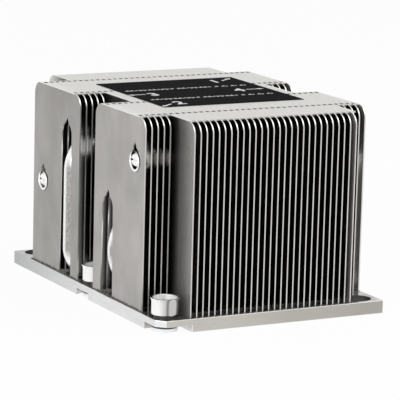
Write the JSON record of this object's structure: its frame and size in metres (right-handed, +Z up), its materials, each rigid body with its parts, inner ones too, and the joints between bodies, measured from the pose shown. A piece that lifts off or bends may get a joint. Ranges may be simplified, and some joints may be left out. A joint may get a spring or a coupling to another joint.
{
  "type": "passive server processor heatsink",
  "caption": "Passive processor heatsink: milled base plate, U-bent heat pipes threaded through a zipper-fin stack with driver notches, clip slots and captive nuts.",
  "frame": {"origin": "centre of the base plate's underside", "axes": "+X along the fin stack, +Y along the air flow and the fins, +Z up from the processor"},
  "size_m": [0.079, 0.108, 0.0641],
  "materials": {
    "milled_aluminium": "fine milled, satin",
    "fin_aluminium": "rolled sheet, satin",
    "plated_copper": "bright nickel plating",
    "plated_steel": "bright nickel plating",
    "nylon": "natural white nylon",
    "label_film": "matt black film with white print"
  },
  "bodies": {
    "heatsink": {"base_plate": "milled_aluminium", "heat_pipe_1": "plated_copper", "heat_pipe_2": "plated_copper", "heat_pipe_3": "plated_copper", "heat_pipe_4": "plated_copper", "left_front_fin_1": "fin_aluminium", "left_front_fin_2": "fin_aluminium", "left_front_fin_3": "fin_aluminium", "left_front_fin_4": "fin_aluminium", "left_front_fin_5": "fin_aluminium", "left_back_fin_1": "fin_aluminium", "left_back_fin_2": "fin_aluminium", "left_back_fin_3": "fin_aluminium", "left_back_fin_4": "fin_aluminium", "left_back_fin_5": "fin_aluminium", "right_front_fin_1": "fin_aluminium", "right_front_fin_2": "fin_aluminium", "right_front_fin_3": "fin_aluminium", "right_front_fin_4": "fin_aluminium", "right_front_fin_5": "fin_aluminium", "right_back_fin_1": "fin_aluminium", "right_back_fin_2": "fin_aluminium", "right_back_fin_3": "fin_aluminium", "right_back_fin_4": "fin_aluminium", "right_back_fin_5": "fin_aluminium", "main_fin_1": "fin_aluminium", "main_fin_2": "fin_aluminium", "main_fin_3": "fin_aluminium", "main_fin_4": "fin_aluminium", "main_fin_5": "fin_aluminium", "main_fin_6": "fin_aluminium", "main_fin_7": "fin_aluminium", "main_fin_8": "fin_aluminium", "main_fin_9": "fin_aluminium", "main_fin_10": "fin_aluminium", "main_fin_11": "fin_aluminium", "main_fin_12": "fin_aluminium", "main_fin_13": "fin_aluminium", "main_fin_14": "fin_aluminium", "main_fin_15": "fin_aluminium", "main_fin_16": "fin_aluminium", "main_fin_17": "fin_aluminium", "main_fin_18": "fin_aluminium", "main_fin_19": "fin_aluminium", "main_fin_20": "fin_aluminium", "main_fin_21": "fin_aluminium", "main_fin_22": "fin_aluminium", "main_fin_23": "fin_aluminium", "main_fin_24": "fin_aluminium", "main_fin_25": "fin_aluminium", "main_fin_26": "fin_aluminium", "main_fin_27": "fin_aluminium", "main_fin_28": "fin_aluminium", "nut_washers": "nylon", "top_label": "label_film"},
    "nut_1": {"captive_nut_1": "plated_steel"},
    "nut_2": {"captive_nut_2": "plated_steel"},
    "nut_3": {"captive_nut_3": "plated_steel"},
    "nut_4": {"captive_nut_4": "plated_steel"}
  },
  "joints": [
    {"name": "nut_turn_1", "type": "hinge", "parent": "heatsink", "child": "nut_1", "pos_m": [0.0349, 0.0488, 0.006], "axis": [0, 0, 1], "continuous": true},
    {"name": "nut_turn_2", "type": "hinge", "parent": "heatsink", "child": "nut_2", "pos_m": [-0.0349, -0.0488, 0.006], "axis": [0, 0, 1], "continuous": true},
    {"name": "nut_turn_3", "type": "hinge", "parent": "heatsink", "child": "nut_3", "pos_m": [-0.0349, 0, 0.006], "axis": [0, 0, 1], "continuous": true},
    {"name": "nut_turn_4", "type": "hinge", "parent": "heatsink", "child": "nut_4", "pos_m": [0.0349, 0, 0.006], "axis": [0, 0, 1], "continuous": true}
  ]
}
